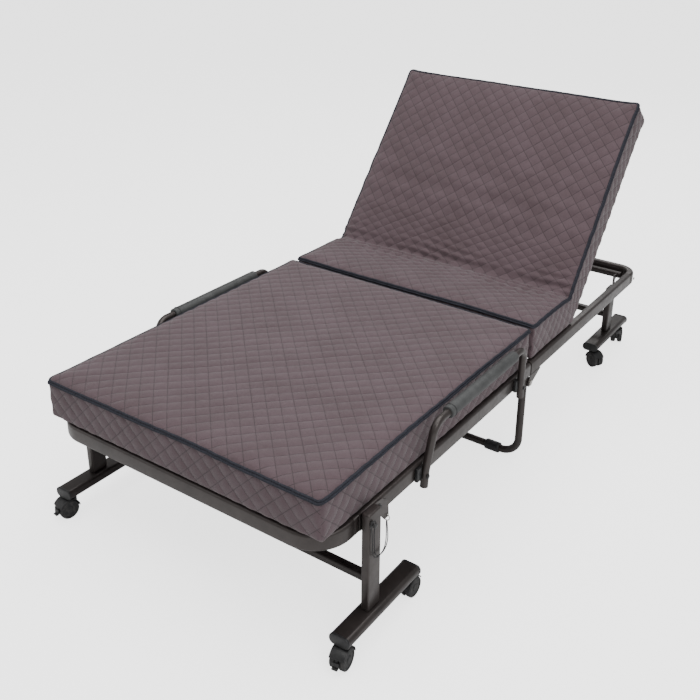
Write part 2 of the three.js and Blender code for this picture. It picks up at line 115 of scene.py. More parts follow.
def remap(tree, value, low, high, newLow, newHigh):
    node = tree.nodes.new("ShaderNodeMapRange")
    limits = {"From Min": low, "From Max": high, "To Min": newLow, "To Max": newHigh}
    for socket, number in limits.items():
        node.inputs[socket].default_value = number
    tree.links.new(value, node.inputs["Value"])
    return node.outputs["Result"]


def mixColours(tree, factor, first, second):
    node = tree.nodes.new("ShaderNodeMix")
    node.data_type = "RGBA"
    tree.links.new(factor, node.inputs["Factor"])
    for socket, colour in ((node.inputs["A"], first), (node.inputs["B"], second)):
        if isinstance(colour, tuple):
            socket.default_value = (*colour, 1)
        else:
            tree.links.new(colour, socket)
    return node.outputs["Result"]


def arithmetic(tree, operation, a, b=None):
    node = tree.nodes.new("ShaderNodeMath")
    node.operation = operation
    for socket, value in ((node.inputs[0], a), (node.inputs[1], b)):
        if value is None:
            continue
        if isinstance(value, (int, float)):
            socket.default_value = value
        else:
            tree.links.new(value, socket)
    return node.outputs[0]


def bump(tree, shader, height, strength, distance):
    node = tree.nodes.new("ShaderNodeBump")
    node.inputs["Strength"].default_value = strength
    node.inputs["Distance"].default_value = distance
    tree.links.new(height, node.inputs["Height"])
    tree.links.new(node.outputs["Normal"], shader.inputs["Normal"])


paintLook = {"colour": (0.064, 0.053, 0.050), "shade": (0.045, 0.037, 0.035),
             "roughness": 0.36, "grainScale": 900}


def paintMaterial(name, brightness=1.0):
    colour = tuple(c * brightness for c in paintLook["colour"])
    shade = tuple(c * brightness for c in paintLook["shade"])
    material, tree, shader = startMaterial(name, colour, paintLook["roughness"], 0.55)
    place = objectPlace(tree)
    patches = noise(tree, place, 14)
    factor = remap(tree, patches, 0.35, 0.7, 0, 1)
    tree.links.new(mixColours(tree, factor, colour, shade), shader.inputs["Base Color"])
    tree.links.new(remap(tree, noise(tree, place, 60), 0.3, 0.7, 0.3, 0.46), shader.inputs["Roughness"])
    bump(tree, shader, noise(tree, place, paintLook["grainScale"], 2), 0.08, 0.0004)
    shader.inputs["Coat Weight"].default_value = 0.25
    shader.inputs["Coat Roughness"].default_value = 0.2
    return material


plasticLook = {"colour": (0.012, 0.012, 0.013), "worn": (0.035, 0.034, 0.034), "roughness": 0.42}


def plasticMaterial():
    material, tree, shader = startMaterial("blackPlastic", plasticLook["colour"], plasticLook["roughness"])
    place = objectPlace(tree)
    factor = remap(tree, noise(tree, place, 45), 0.4, 0.8, 0, 1)
    mixed = mixColours(tree, factor, plasticLook["colour"], plasticLook["worn"])
    tree.links.new(mixed, shader.inputs["Base Color"])
    tree.links.new(remap(tree, noise(tree, place, 120), 0.3, 0.7, 0.34, 0.5), shader.inputs["Roughness"])
    bump(tree, shader, noise(tree, place, 1400, 2), 0.25, 0.0003)
    return material


treadLook = {"colour": (0.018, 0.018, 0.019), "dust": (0.06, 0.057, 0.054)}


def treadMaterial():
    material, tree, shader = startMaterial("casterTread", treadLook["colour"], 0.6)
    place = objectPlace(tree)
    factor = remap(tree, noise(tree, place, 90), 0.45, 0.75, 0, 1)
    mixed = mixColours(tree, factor, treadLook["colour"], treadLook["dust"])
    tree.links.new(mixed, shader.inputs["Base Color"])
    bump(tree, shader, noise(tree, place, 700, 3), 0.35, 0.0003)
    return material


steelLook = {"colour": (0.58, 0.56, 0.52), "dull": (0.42, 0.40, 0.37), "roughness": 0.28}


def steelMaterial():
    material, tree, shader = startMaterial("zincSteel", steelLook["colour"], steelLook["roughness"], 1.0)
    place = objectPlace(tree, (1, 12, 1))
    tree.links.new(remap(tree, noise(tree, place, 260), 0.3, 0.7, 0.2, 0.42), shader.inputs["Roughness"])
    tint = remap(tree, noise(tree, place, 35), 0.35, 0.7, 0, 1)
    mixed = mixColours(tree, tint, steelLook["colour"], steelLook["dull"])
    tree.links.new(mixed, shader.inputs["Base Color"])
    bump(tree, shader, noise(tree, place, 500, 2), 0.1, 0.0002)
    return material


sleeveLook = {"colour": (0.044, 0.046, 0.046), "light": (0.074, 0.076, 0.076), "roughness": 0.55}


def sleeveMaterial():
    material, tree, shader = startMaterial("gripFoam", sleeveLook["colour"], sleeveLook["roughness"])
    place = objectPlace(tree)
    factor = remap(tree, noise(tree, place, 30), 0.35, 0.7, 0, 1)
    colour = mixColours(tree, factor, sleeveLook["colour"], sleeveLook["light"])
    tree.links.new(colour, shader.inputs["Base Color"])
    cells = tree.nodes.new("ShaderNodeTexVoronoi")
    cells.inputs["Scale"].default_value = 900
    tree.links.new(place, cells.inputs["Vector"])
    bump(tree, shader, cells.outputs["Distance"], 0.3, 0.0004)
    return material


# the darkest colour here is painted shade, laid into the stitched grooves of the quilting
coverLook = {"colour": (0.088, 0.054, 0.062), "light": (0.108, 0.069, 0.080),
             "stitchGrooveShade": (0.026, 0.015, 0.018), "roughness": 0.8, "threads": 620, "diamond": 0.0435}


def coverMaterial():
    # woven threads and the stitched lines of the quilting follow the cover's own UV map, in metres; the stitched
    # grooves are darkened with painted shade
    material, tree, shader = startMaterial("quiltedCover", coverLook["colour"], coverLook["roughness"])
    uv = tree.nodes.new("ShaderNodeUVMap")
    uv.uv_map = "cover"
    split = tree.nodes.new("ShaderNodeSeparateXYZ")
    tree.links.new(uv.outputs["UV"], split.inputs[0])
    across, along = split.outputs["X"], split.outputs["Y"]
    sums = arithmetic(tree, "ADD", across, along)
    differences = arithmetic(tree, "SUBTRACT", across, along)

    def stitched(value):
        wave = arithmetic(tree, "MULTIPLY", value, math.pi / coverLook["diamond"])
        return arithmetic(tree, "ABSOLUTE", arithmetic(tree, "SINE", wave))

    def threads(value):
        return arithmetic(tree, "SINE", arithmetic(tree, "MULTIPLY", value, coverLook["threads"] * math.tau))

    nearest = arithmetic(tree, "MINIMUM", stitched(sums), stitched(differences))
    stitchGrooveShade = remap(tree, nearest, 0.0, 0.14, 1, 0)
    weave = arithmetic(tree, "MULTIPLY", threads(across), threads(along))
    place = objectPlace(tree)
    patches = remap(tree, noise(tree, place, 9, 5), 0.35, 0.68, 0, 1)
    speckle = remap(tree, noise(tree, place, 420, 3), 0.35, 0.7, 0, 1)
    plain = mixColours(tree, patches, coverLook["colour"], coverLook["light"])
    mottled = tree.nodes.new("ShaderNodeMix")
    mottled.data_type = "RGBA"
    mottled.blend_type = "MULTIPLY"
    mottled.inputs["Factor"].default_value = 0.35
    tree.links.new(plain, mottled.inputs["A"])
    tree.links.new(mixColours(tree, speckle, (0.72, 0.70, 0.72), (1.1, 1.1, 1.1)), mottled.inputs["B"])
    # painted shade: the base colour is darkened along the stitched grooves, where shade would fall
    grooveShadeShare = arithmetic(tree, "MULTIPLY", stitchGrooveShade, 0.85)
    withGrooveShade = mixColours(tree, grooveShadeShare, mottled.outputs["Result"], coverLook["stitchGrooveShade"])
    tree.links.new(withGrooveShade, shader.inputs["Base Color"])
    woven = arithmetic(tree, "MULTIPLY", weave, 0.12)
    height = arithmetic(tree, "ADD", woven, arithmetic(tree, "MULTIPLY", stitchGrooveShade, -1.0))
    height = arithmetic(tree, "ADD", height, arithmetic(tree, "MULTIPLY", speckle, 0.35))
    bump(tree, shader, height, 0.45, 0.0012)
    shader.inputs["Sheen Weight"].default_value = 0.25
    shader.inputs["Sheen Roughness"].default_value = 0.5
    return material


pipingLook = {"colour": (0.007, 0.008, 0.015), "light": (0.024, 0.025, 0.038)}


def pipingMaterial():
    material, tree, shader = startMaterial("navyPiping", pipingLook["colour"], 0.8)
    place = objectPlace(tree)
    factor = remap(tree, noise(tree, place, 260), 0.35, 0.7, 0, 1)
    mixed = mixColours(tree, factor, pipingLook["colour"], pipingLook["light"])
    tree.links.new(mixed, shader.inputs["Base Color"])
    bump(tree, shader, noise(tree, place, 900, 2), 0.5, 0.0005)
    return material


cordLook = {"colour": (0.010, 0.010, 0.011), "light": (0.05, 0.05, 0.052)}


def cordMaterial():
    material, tree, shader = startMaterial("elasticCord", cordLook["colour"], 0.7)
    place = objectPlace(tree)
    factor = remap(tree, noise(tree, place, 1200, 2), 0.35, 0.7, 0, 1)
    mixed = mixColours(tree, factor, cordLook["colour"], cordLook["light"])
    tree.links.new(mixed, shader.inputs["Base Color"])
    bump(tree, shader, noise(tree, place, 1500, 2), 0.6, 0.0003)
    return material


framePaint = paintMaterial("framePaint")
basePaint = paintMaterial("basePaint", 0.78)
blackPlastic = plasticMaterial()
casterTread = treadMaterial()
zincSteel = steelMaterial()
gripFoam = sleeveMaterial()
quiltedCover = coverMaterial()
navyPiping = pipingMaterial()
elasticCord = cordMaterial()
print("materials made")


def deselectAll():
    bpy.ops.object.select_all(action="DESELECT")


def finishPiece(piece, material, body, replaced=(), smooth=35):
    # puts the piece's place in its mesh, smooths it and hangs it on its body
    deselectAll()
    piece.select_set(True)
    bpy.context.view_layer.objects.active = piece
    bpy.ops.object.transform_apply(location=True, rotation=True, scale=True)
    if smooth:
        bpy.ops.object.shade_smooth_by_angle(angle=math.radians(smooth))
    piece.data.materials.clear()
    piece.data.materials.append(material)
    if body:
        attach(piece, body)
    if replaced:
        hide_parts(*replaced)
    deselectAll()
    return piece


def startSection(name, section, place, facing):
    # a flat face whose normal looks along facing: round, or a rectangle with round corners
    deselectAll()
    if "radius" in section:
        sides = section.get("sides", 24)
        bpy.ops.mesh.primitive_circle_add(vertices=sides, radius=section["radius"] * mm, fill_type="NGON")
    else:
        bpy.ops.mesh.primitive_plane_add(size=1)
        bpy.context.object.scale = (section["width"] * mm, section["height"] * mm, 1)
        bpy.ops.object.transform_apply(scale=True)
        bpy.ops.object.mode_set(mode="EDIT")
        bpy.ops.mesh.select_all(action="SELECT")
        steps = section.get("steps", 5)
        bpy.ops.mesh.bevel(offset=section["corner"] * mm, segments=steps, affect="VERTICES")
        bpy.ops.object.mode_set(mode="OBJECT")
    piece = bpy.context.object
    piece.name = name
    piece.data.name = name
    direction = Vector(facing).normalized()
    sideways = Vector(section.get("sideways", (1, 0, 0)))
    upwards = direction.cross(sideways).normalized()
    sideways = upwards.cross(direction).normalized()
    turn = Matrix((sideways, upwards, direction)).transposed().to_4x4()
    piece.matrix_world = Matrix.Translation(place) @ turn
    bpy.ops.object.transform_apply(location=True, rotation=True, scale=False)
    return piece


def drawTube(name, section, place, facing, moves, bevelEnds=0.0):
    # the section drawn along straight runs and round bends, as a tube bender would make it
    piece = startSection(name, section, place, facing)
    bpy.ops.object.mode_set(mode="EDIT")
    bpy.ops.mesh.select_all(action="SELECT")
    for move in moves:
        if move[0] == "run":
            bpy.ops.mesh.extrude_region_move(TRANSFORM_OT_translate={"value": Vector(move[1]) * mm})
        else:
            centre, axis, degrees, steps = move[1:]
            bpy.ops.mesh.spin(steps=steps, angle=math.radians(-degrees), center=centre, axis=axis)
    bpy.ops.mesh.select_all(action="SELECT")
    bpy.ops.mesh.remove_doubles(threshold=0.00001)
    bpy.ops.mesh.normals_make_consistent(inside=False)
    bpy.ops.object.mode_set(mode="OBJECT")
    if bevelEnds:
        bevelFlatEnds(piece, bevelEnds)
    return piece


def selectFaces(piece, wanted):
    # leaves the piece in edit mode, in face mode, with only the wanted faces selected
    bpy.ops.object.mode_set(mode="EDIT")
    bpy.ops.mesh.select_mode(type="FACE")
    bpy.ops.mesh.select_all(action="DESELECT")
    bpy.ops.object.mode_set(mode="OBJECT")
    for polygon in piece.data.polygons:
        polygon.select = wanted(polygon)
    bpy.ops.object.mode_set(mode="EDIT")


def leaveEditMode():
    bpy.ops.mesh.select_mode(type="VERT")
    bpy.ops.object.mode_set(mode="OBJECT")


def bevelFlatEnds(piece, width):
    # rounds the rims of the end faces, which have many corners
    selectFaces(piece, lambda polygon: polygon.loop_total > 7)
    bpy.ops.mesh.region_to_loop()
    bpy.ops.mesh.bevel(offset=width * mm, segments=3, affect="EDGES")
    leaveEditMode()


def roundedBox(name, low, high, radius, steps=3):
    # a block between two corners, with every edge rounded
    deselectAll()
    low, high = Vector(low), Vector(high)
    bpy.ops.mesh.primitive_cube_add(size=1, location=(low + high) / 2)
    piece = bpy.context.object
    piece.name = name
    piece.data.name = name
    piece.scale = high - low
    bpy.ops.object.transform_apply(location=True, rotation=True, scale=True)
    bpy.ops.object.mode_set(mode="EDIT")
    bpy.ops.mesh.select_all(action="SELECT")
    bpy.ops.mesh.bevel(offset=radius * mm, segments=steps, affect="EDGES")
    bpy.ops.object.mode_set(mode="OBJECT")
    return piece


def joinPieces(name, pieces):
    deselectAll()
    for piece in pieces:
        piece.select_set(True)
    bpy.context.view_layer.objects.active = pieces[0]
    bpy.ops.object.join()
    pieces[0].name = name
    pieces[0].data.name = name
    return pieces[0]


lanyard = {"diameter": 2.2, "gap": 2.6, "loopRadius": 8.5, "loopCentre": (443.1, 127, 308),
           "drop": [(412, 222.5, 244.2), (417, 216, 239), (426, 204, 232), (435, 190, 226),
                    (442, 173, 221), (444.8, 156, 218.5), (445.3, 141, 221), (445.1, 131, 230),
                    (444.6, 127, 246), (443.8, 127, 266), (443.1, 127, 286)]}


def lanyardRoute():
    # down from the ring, up to the pin, round the pin's neck and back beside the first strand
    drop = lanyard["drop"]
    loopX, loopY, loopZ = lanyard["loopCentre"]
    points = []
    for i, (x, y, z) in enumerate(drop):
        spread = lanyard["gap"] * min(1, i / 3)
        points.append(at(x - spread * 0.2, y - spread, z - spread * 0.3))
    for step in range(9):
        angle = math.pi * (1.15 - 1.3 * step / 8)
        points.append(at(loopX, loopY + lanyard["loopRadius"] * math.cos(angle),
                         loopZ + lanyard["loopRadius"] * math.sin(angle)))
    for i, (x, y, z) in reversed(list(enumerate(drop))):
        spread = lanyard["gap"] * min(1, i / 3) + (1.5 - i * 0.5 if i < 3 else 0)
        points.append(at(x + spread * 0.2, y + spread, z + spread * 0.3))
    return points


def smoothRoute(points, perSpan=6):
    # a smooth curve through the points
    route = []
    for i in range(len(points) - 1):
        before = points[max(i - 1, 0)]
        first, second = points[i], points[i + 1]
        after = points[min(i + 2, len(points) - 1)]
        for step in range(perSpan):
            t = step / perSpan
            route.append(0.5 * ((2 * first) + (second - before) * t
                                + (2 * before - 5 * first + 4 * second - after) * t * t
                                + (3 * first - before - 3 * second + after) * t ** 3))
    route.append(points[-1])
    return route


def tubeAlong(name, points, radius, closed=False, sides=4):
    # a round cord along the points, made as a curve and turned into a mesh
    deselectAll()
    curve = bpy.data.curves.new(name, "CURVE")
    curve.dimensions = "3D"
    curve.bevel_depth = radius
    curve.bevel_resolution = sides
    curve.use_fill_caps = not closed
    spline = curve.splines.new("POLY")
    spline.points.add(len(points) - 1)
    for knot, place in zip(spline.points, points):
        knot.co = (*place, 1)
    spline.use_cyclic_u = closed
    piece = bpy.data.objects.new(name, curve)
    bpy.context.scene.collection.objects.link(piece)
    piece.select_set(True)
    bpy.context.view_layer.objects.active = piece
    bpy.ops.object.convert(target="MESH")
    piece = bpy.context.object
    bpy.ops.object.shade_smooth()
    deselectAll()
    return piece


def addLanyard():
    route = smoothRoute(lanyardRoute())
    cord = tubeAlong("lanyard_cord", route, lanyard["diameter"] / 2 * mm)
    cord.data.materials.append(elasticCord)
    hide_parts("lock_pin_lanyard")
    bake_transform(cord)


addLanyard()
print("lanyard made")


mattress = {"width": 820, "footLength": 922, "headStart": 928, "headLength": 973, "base": 313.2, "top": 424,
            "voxel": 9, "inset": 4, "cap": 6.5, "puff": 3.6, "edge": 7, "footCorner": 14}
binding = {"radius": 3.1, "apart": 2.6, "wave": 2.2}
bend = {"pivotY": 1218, "pivotZ": 306.5, "angle": 51, "reach": 190}


def mattressBlock(name, y0, y1, footCorner):
    inset = mattress["inset"]
    half = mattress["width"] / 2 - inset
    low = at(-half, y0 + inset, mattress["base"] + 1)
    high = at(half, y1 - inset, mattress["top"] - inset)
    deselectAll()
    bpy.ops.mesh.primitive_cube_add(size=1, location=(low + high) / 2)
    piece = bpy.context.object
    piece.name = name
    piece.data.name = name
    piece.scale = high - low
    bpy.ops.object.transform_apply(location=True, rotation=True, scale=True)
    mesh = piece.data
    for face in mesh.polygons:
        face.select = False
    for vertex in mesh.vertices:
        vertex.select = False
    for edge in mesh.edges:
        a, b = (mesh.vertices[i].co for i in edge.vertices)
        edge.select = abs(a.z - b.z) > 0.05 and (footCorner and a.y < (low.y + high.y) / 2)
    bpy.ops.object.mode_set(mode="EDIT")
    bpy.ops.mesh.select_mode(type="EDGE")
    if footCorner:
        bpy.ops.mesh.bevel(offset=footCorner * mm, segments=6, affect="EDGES")
    bpy.ops.mesh.select_all(action="SELECT")
    bpy.ops.mesh.bevel(offset=mattress["edge"] * mm, segments=3, affect="EDGES")
    bpy.ops.mesh.select_mode(type="VERT")
    bpy.ops.object.mode_set(mode="OBJECT")
    mesh.remesh_voxel_size = mattress["voxel"] * mm
    bpy.ops.object.voxel_remesh()
    return piece


def coordinates(piece):
    values = np.empty(len(piece.data.vertices) * 3)
    piece.data.vertices.foreach_get("co", values)
    return values.reshape(-1, 3)


def setCoordinates(piece, values):
    piece.data.vertices.foreach_set("co", values.ravel())
    piece.data.update()


def vertexNormals(piece):
    values = np.empty(len(piece.data.vertices) * 3)
    piece.data.vertex_normals.foreach_get("vector", values)
    return values.reshape(-1, 3)


def inflate(piece):
    # the cover swells a little from the foam's push, and no point moves further than the cap
    before = coordinates(piece).copy()
    deselectAll()
    piece.select_set(True)
    bpy.context.view_layer.objects.active = piece
    cloth = piece.modifiers.new("swell", "CLOTH")
    cloth.settings.use_pressure = True
    cloth.settings.uniform_pressure_force = 4
    cloth.settings.effector_weights.gravity = 0
    cloth.settings.quality = 4
    cloth.point_cache.frame_start = 1
    cloth.point_cache.frame_end = 16
    scene = bpy.context.scene
    for number in range(1, 17):
        scene.frame_set(number)
    bpy.ops.object.modifier_apply(modifier="swell")
    scene.frame_set(1)
    after = coordinates(piece)
    move = after - before
    length = np.linalg.norm(move, axis=1, keepdims=True)
    cap = mattress["cap"] * mm
    setCoordinates(piece, before + move / np.maximum(length, 1e-9) * cap * np.tanh(length / cap))


def smoothstep(values, low, high):
    t = np.clip((values - low) / (high - low), 0, 1)
    return t * t * (3 - 2 * t)


def addCoverMap(piece):
    # lays the cover out in metres: the top as seen from above, the sides as seen from each side
    points = coordinates(piece)
    mesh = piece.data
    layer = mesh.uv_layers.new(name="cover")
    loops = np.empty(len(mesh.loops), int)
    mesh.loops.foreach_get("vertex_index", loops)
    normals = np.empty(len(mesh.polygons) * 3)
    mesh.polygons.foreach_get("normal", normals)
    normals = np.abs(normals.reshape(-1, 3))
    counts = np.empty(len(mesh.polygons), int)
    mesh.polygons.foreach_get("loop_total", counts)
    facing = np.repeat(normals.argmax(axis=1), counts)
    p = points[loops]
    uv = np.empty((len(loops), 2))
    uv[:, 0] = np.where(facing == 0, p[:, 1], p[:, 0])
    uv[:, 1] = np.where(facing == 2, p[:, 1], p[:, 2])
    layer.data.foreach_set("uv", uv.ravel())


def quilt(piece):
    # puffed diamonds between stitched lines, and a little unevenness in the foam
    points = coordinates(piece)
    normals = vertexNormals(piece)
    axis = np.abs(normals).argmax(axis=1)
    across = np.where(axis == 0, points[:, 1], points[:, 0])
    along = np.where(axis == 2, points[:, 1], points[:, 2])
    size = coverLook["diamond"]
    first = np.abs(np.sin(np.pi * (across + along) / size))
    second = np.abs(np.sin(np.pi * (across - along) / size))
    puff = (first * second) ** 0.42
    fade = smoothstep(np.abs(normals).max(axis=1), 0.80, 0.97)
    uneven = (np.sin(points[:, 0] * 11 + 1.3) * np.sin(points[:, 1] * 9 + 0.4)
              + 0.5 * np.sin(points[:, 0] * 23 + points[:, 1] * 17))
    lift = (puff - 0.55) * mattress["puff"] * mm * fade + uneven * 0.0009 * fade
    setCoordinates(piece, points + normals * lift[:, None])


def keepOffDeck(piece):
    points = coordinates(piece)
    low = mattress["base"] * mm
    points[:, 2] = np.maximum(points[:, 2], low)
    setCoordinates(piece, points)


def bendPoints(points):
    # folds the flat head half up about the recline pivot; the cover bunches at the crease
    origin = np.array(at(0, bend["pivotY"], bend["pivotZ"]))
    half = math.radians(bend["angle"]) / 2
    reach = bend["reach"] * mm
    y = points[:, 1] - origin[1]
    z = points[:, 2] - origin[2]
    side = np.where(y < 0, -1.0, 1.0)
    away = np.abs(y)
    setback = np.clip(z, 0, None) * math.tan(half)
    squeezed = np.where(away < reach, setback + away * (reach - setback) / reach, away)
    onTop = smoothstep(z, 0.07, 0.115)
    nearness = np.exp(-(away / 0.085) ** 2)
    wander = 1.7 * np.sin(points[:, 0] * 9) + 1.1 * np.sin(points[:, 0] * 21 + side)
    depth = 0.6 + 0.4 * np.sin(points[:, 0] * 15 + 2 * side)
    ripple = np.sin(away * 2 * np.pi / 0.036 + wander) * depth
    z = z + onTop * (ripple * 0.0034 * nearness - 0.005 * np.exp(-(away / 0.03) ** 2))
    bowed = smoothstep(away, 0.12, 0.30) * np.exp(-((away - 0.24) / 0.16) ** 2) * (side > 0)
    z = z + onTop * bowed * 0.0022 * np.sin(away * 2 * np.pi / 0.075 + points[:, 0] * 2.2)
    flatY = side * squeezed
    angle = np.where(side > 0, 2 * half, 0.0)
    result = points.copy()
    result[:, 1] = origin[1] + flatY * np.cos(angle) - z * np.sin(angle)
    result[:, 2] = origin[2] + flatY * np.sin(angle) + z * np.cos(angle)
    return result


def edgeRoute(y0, y1, footCorner, z, inset):
    # the outline of one half's top or bottom edge, seen from above, in millimetres
    half = mattress["width"] / 2 - inset
    corners = [(half, y0 + inset, footCorner), (half, y1 - inset, 12), (-half, y1 - inset, 12),
               (-half, y0 + inset, footCorner)]
    route = []
    for i, (x, y, radius) in enumerate(corners):
        radius = max(radius, 12)
        inX = -1 if x > 0 else 1
        inY = 1 if i in (0, 3) else -1
        centre = (x + inX * radius, y + inY * radius)
        startAngle = {0: -90, 1: 0, 2: 90, 3: 180}[i]
        for step in range(7):
            angle = math.radians(startAngle + 90 * step / 6)
            route.append((centre[0] + radius * math.cos(angle), centre[1] + radius * math.sin(angle), z))
    filled = []
    for a, b in zip(route, route[1:] + route[:1]):
        steps = max(1, int(math.dist(a, b) / 8))
        for step in range(steps):
            filled.append(at(*(p + (q - p) * step / steps for p, q in zip(a, b))))
    return filled


def averaged(values):
    # each value of a closed ring, pulled halfway towards its two neighbours
    return 0.5 * values + 0.25 * np.roll(values, 1, axis=0) + 0.25 * np.roll(values, -1, axis=0)


def bindingRoutes(piece, route):
    # the two cords of the edge binding, side by side on the cover's edge, which isn't quite straight
    placed, outward = [], []
    for place in route:
        wave = math.sin(place.x * 8.5 + place.y * 6.1) * binding["wave"] * mm
        _, spot, normal, _ = piece.closest_point_on_mesh(place + Vector((0, 0, wave)))
        placed.append(spot)
        outward.append(normal)
    points, normals = np.array(placed), np.array(outward)
    for _ in range(4):
        points, normals = averaged(points), averaged(normals)
    normals /= np.linalg.norm(normals, axis=1, keepdims=True)
    along = np.roll(points, -1, axis=0) - np.roll(points, 1, axis=0)
    sideways = np.cross(along, normals)
    sideways /= np.linalg.norm(sideways, axis=1, keepdims=True)
    lift = normals * 0.0004
    return [points + lift + sideways * binding["apart"] * mm * way for way in (-1, 1)]


def makeMattressHalf(name, y0, y1, footCorner):
    piece = mattressBlock(name, y0, y1, footCorner)
    inflate(piece)
    deselectAll()
    piece.select_set(True)
    bpy.context.view_layer.objects.active = piece
    finer = piece.modifiers.new("finer", "SUBSURF")
    finer.levels = 1
    finer.render_levels = 1
    bpy.ops.object.modifier_apply(modifier="finer")
    addCoverMap(piece)
    quilt(piece)
    keepOffDeck(piece)
    bpy.ops.object.shade_smooth()
    piece.data.materials.clear()
    piece.data.materials.append(quiltedCover)
    return piece


def addBinding(name, piece, y0, y1, footCorner, bent):
    cords = []
    route = edgeRoute(y0, y1, footCorner, mattress["top"] - 7, 2)
    for number, points in enumerate(bindingRoutes(piece, route)):
        if bent:
            points = bendPoints(points)
        places = [Vector(point) for point in points]
        cord = tubeAlong(f"{name}_{number}", places, binding["radius"] * mm, closed=True)
        cord.data.materials.append(navyPiping)
        cords.append(cord)
    band = joinPieces(name, cords)
    return band


def addFootMattress():
    end = mattress["footLength"]
    piece = makeMattressHalf("foot_mattress_cover", 0, end, mattress["footCorner"])
    band = addBinding("foot_mattress_binding", piece, 0, end, mattress["footCorner"], False)
    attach(band, "foot_frame")
    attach(piece, "foot_frame")
    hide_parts("foot_mattress")


def addHeadMattress():
    start = mattress["headStart"]
    end = start + mattress["headLength"]
    piece = makeMattressHalf("head_mattress_cover", start, end, 0)
    band = addBinding("head_mattress_binding", piece, start, end, 0, True)
    setCoordinates(piece, bendPoints(coordinates(piece)))
    for part in (piece, band):
        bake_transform(part)
    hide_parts("seat_mattress", "back_mattress")


addFootMattress()
addHeadMattress()
print("mattress made")


rail = {"thickness": 24, "height": 41, "corner": 7, "centreX": 396, "middleZ": 292,
        "footStart": 11, "footRadius": 76, "headEnd": 1742, "headRadius": 48, "straight": 14,
        "footRail": (113.3, 922), "headRail": (928, 1667.7)}
hinge = {"y": 925, "z": 252.5, "radius": 12, "plate": 3, "reach": 62, "footX": 400.5, "headX": 404.5}


def roundBar(name, radius, start, end, sides=24, rim=0.0):
    # a round bar along x, y or z between two places in millimetres
    a, b = at(*start), at(*end)
    run = (b - a) / mm
    facing = tuple(run.normalized())
    sideways = (0, 1, 0) if abs(facing[0]) > 0.5 else (1, 0, 0)
    section = {"radius": radius, "sides": sides, "sideways": sideways}
    return drawTube(name, section, a, facing, [("run", tuple(run))], rim)


def wrapTogether(name, pieces):
    # one plate that spans the given shapes
    plate = joinPieces(name, pieces)
    bpy.ops.object.mode_set(mode="EDIT")
    bpy.ops.mesh.select_all(action="SELECT")
    bpy.ops.mesh.convex_hull()
    bpy.ops.object.mode_set(mode="OBJECT")
    return plate


def hingePlate(side, x, towards):
    x0, x1 = side * x, side * (x + hinge["plate"])
    eye = roundBar("eye", hinge["radius"], (x0, hinge["y"], hinge["z"]), (x1, hinge["y"], hinge["z"]), 28)
    low, high = sorted((hinge["y"] + towards * 4, hinge["y"] + towards * hinge["reach"]))
    root = roundedBox("root", at(min(x0, x1), low, 270), at(max(x0, x1), high, 274), 0.3, 1)
    return wrapTogether("plate", [eye, root])


def addRails():
    section = {"width": rail["thickness"], "height": rail["height"], "corner": rail["corner"]}
    for side, word in ((-1, "left"), (1, "right")):
        for half, towards in (("foot", -1), ("head", 1)):
            start, end = rail[half + "Rail"]
            place = at(side * rail["centreX"], start, rail["middleZ"])
            tube = drawTube("rail", section, place, (0, 1, 0), [("run", (0, end - start, 0))], 0.8)
            whole = joinPieces(f"{half}_rail_{word}", [tube, hingePlate(side, hinge[half + "X"], towards)])
            finishPiece(whole, framePaint, f"{half}_frame", [f"{half}_side_rail_{word}"])


def addEndBows():
    section = {"width": rail["thickness"], "height": rail["height"], "corner": rail["corner"]}
    x, z, straight = rail["centreX"], rail["middleZ"], rail["straight"]
    radius = rail["footRadius"]
    y = rail["footStart"] + rail["thickness"] / 2 + radius
    bow = drawTube("foot_bow", section, at(-x, y + straight, z), (0, -1, 0), [
        ("run", (0, -straight, 0)), ("bend", at(-x + radius, y, z), (0, 0, 1), 90, 14),
        ("run", (2 * (x - radius), 0, 0)), ("bend", at(x - radius, y, z), (0, 0, 1), 90, 14),
        ("run", (0, straight, 0))], 0.8)
    finishPiece(bow, framePaint, "foot_frame", ["foot_end_bow"])
    radius = rail["headRadius"]
    y = rail["headEnd"] - rail["thickness"] / 2 - radius
    bow = drawTube("head_bow", section, at(x, y - straight, z), (0, 1, 0), [
        ("run", (0, straight, 0)), ("bend", at(x - radius, y, z), (0, 0, 1), 90, 12),
        ("run", (-2 * (x - radius), 0, 0)), ("bend", at(-x + radius, y, z), (0, 0, 1), 90, 12),
        ("run", (0, -straight, 0))], 0.8)
    finishPiece(bow, framePaint, "head_frame", ["head_end_bow"])


addRails()
addEndBows()
print("frame made")


legs = {"postWidth": 45, "postThickness": 20, "footX": 428, "headX": 338, "footY": 142, "headY": 1691,
        "footTop": 330, "headTop": 243, "baseTop": 83, "baseBottom": 58, "baseWidth": 50, "baseLength": 272,
        "footBaseStart": 32, "headBaseStart": 1556, "cap": 2.6}


